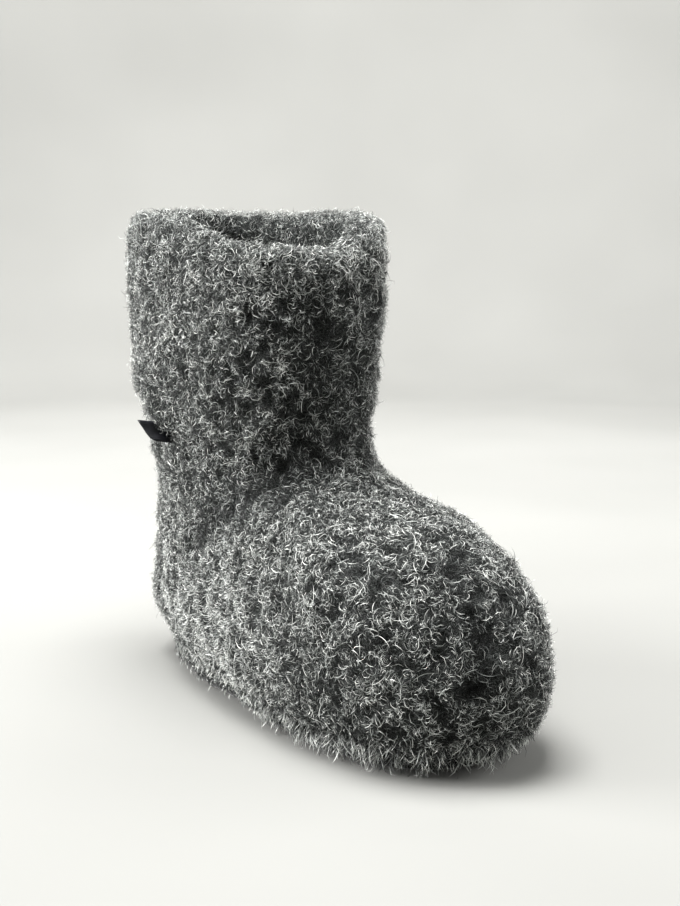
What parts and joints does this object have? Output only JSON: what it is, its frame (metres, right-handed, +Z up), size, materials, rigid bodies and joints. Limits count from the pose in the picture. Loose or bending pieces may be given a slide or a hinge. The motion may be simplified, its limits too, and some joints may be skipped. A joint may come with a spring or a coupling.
{
  "type": "boot slipper",
  "caption": "Short boot slipper in thick curly wool pile, with a puffy rounded foot, a wide soft collar and a thin flat sole.",
  "frame": {"origin": "on the floor, under the middle of the slipper's box", "axes": "+Z up, toe toward -Y, the wearer's right side toward -X"},
  "size_m": [0.1164, 0.2808, 0.2379],
  "materials": {
    "wool_pile": "curly brushed wool pile, charcoal grey with pale hair tips, matt",
    "suede_sole": "black suede, matt",
    "wool_felt": "pressed wool felt, matt",
    "woven_ribbon": "woven black ribbon, slight satin, bare"
  },
  "bodies": {
    "root": {"upper": "wool_pile", "outsole": "suede_sole", "insole": "wool_felt", "label_tab": "woven_ribbon"}
  },
  "joints": []
}
